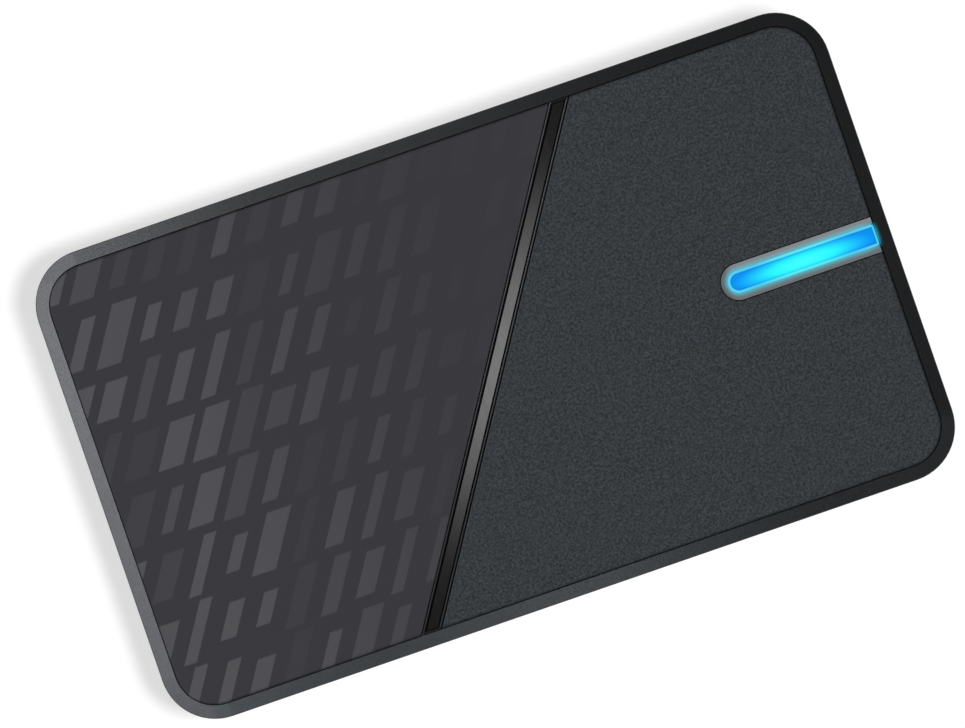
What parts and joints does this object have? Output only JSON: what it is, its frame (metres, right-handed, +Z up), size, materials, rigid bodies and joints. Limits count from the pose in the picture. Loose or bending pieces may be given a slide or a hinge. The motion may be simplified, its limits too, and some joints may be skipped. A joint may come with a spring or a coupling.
{
  "type": "video capture box",
  "caption": "Flat rounded capture box with a split top face, a slanted accent strip, a light bar at one end and video and USB sockets at the other.",
  "frame": {"origin": "centre of the footprint, on the desk under the feet", "axes": "+X along the box towards the light bar, the sockets at -X, +Y to the left of +X, +Z up"},
  "size_m": [0.1126, 0.0662, 0.0262],
  "materials": {
    "case_plastic": "fine satin texture",
    "plain_panel": "smooth matt with a tone-on-tone print",
    "grain_panel": "fine leather-like grain",
    "gloss_strip": "glossy",
    "light_trim": "satin grey",
    "light_diffuser": "lit translucent",
    "black_plastic": "moulded",
    "led_white": "phosphor",
    "board_green": "solder mask",
    "steel": "plated",
    "gold": "gold plated",
    "chip_plastic": "moulded epoxy",
    "pad_grey": "soft silicone",
    "aluminium": "extruded",
    "ferrite": "pressed powder",
    "ceramic": "ceramic",
    "rubber": "matt"
  },
  "bodies": {
    "root": {"lower_case": "case_plastic", "upper_case": "case_plastic", "rear_plate": "case_plastic", "left_panel": "plain_panel", "right_panel": "grain_panel", "accent_strip": "gloss_strip", "light_surround": "light_trim", "light_bar": "light_diffuser", "light_shroud": "black_plastic", "video_in_insert": "black_plastic", "video_out_insert": "black_plastic", "usb_c_insert": "black_plastic", "indicator_leds": "led_white", "main_board": "board_green", "video_in_shell": "steel", "video_out_shell": "steel", "usb_c_shell": "steel", "shield_can": "steel", "clock_crystal": "steel", "heat_sink_spacers": "steel", "heat_sink_screws": "steel", "board_screws": "steel", "case_screws": "steel", "video_in_contacts": "gold", "video_out_contacts": "gold", "usb_c_contacts": "gold", "video_processor": "chip_plastic", "receiver_chip": "chip_plastic", "transmitter_chip": "chip_plastic", "memory_chip_1": "chip_plastic", "memory_chip_2": "chip_plastic", "flash_chip": "chip_plastic", "thermal_pad": "pad_grey", "heat_sink": "aluminium", "bulk_capacitors": "aluminium", "inductor_1": "ferrite", "inductor_2": "ferrite", "inductor_3": "ferrite", "chip_capacitors": "ceramic", "foot_front_left": "rubber", "foot_front_right": "rubber", "foot_rear_left": "rubber", "foot_rear_right": "rubber"}
  },
  "joints": []
}
